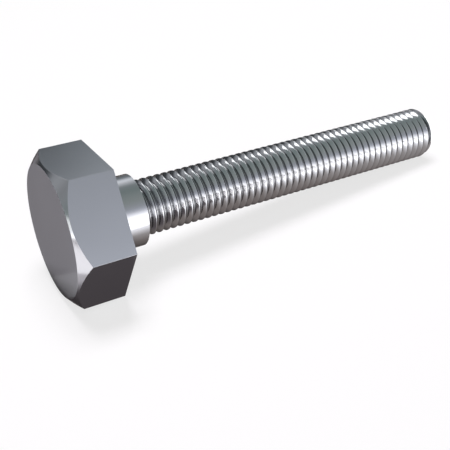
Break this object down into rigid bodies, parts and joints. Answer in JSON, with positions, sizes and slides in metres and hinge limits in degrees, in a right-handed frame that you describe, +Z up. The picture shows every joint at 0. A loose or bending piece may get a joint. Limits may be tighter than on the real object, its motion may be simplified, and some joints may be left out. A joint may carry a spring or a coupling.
{
  "type": "hex head screw",
  "caption": "Heavy hex head screw with a chamfered hexagon head, a plain round collar under it and a long coarse thread that runs to a chamfered tip.",
  "frame": {"origin": "centre of the bearing face under the head, on the screw's axis where the collar starts", "axes": "+Z is up with the screw lying at rest on a level floor, and the screw's axis lies in the XZ plane, 5.74 degrees below +X towards the tip"},
  "size_m": [0.1458, 0.0496, 0.0444],
  "materials": {
    "steel": "bright machined steel, smooth and lightly polished"
  },
  "bodies": {
    "root": {"screw": "steel"}
  },
  "joints": []
}
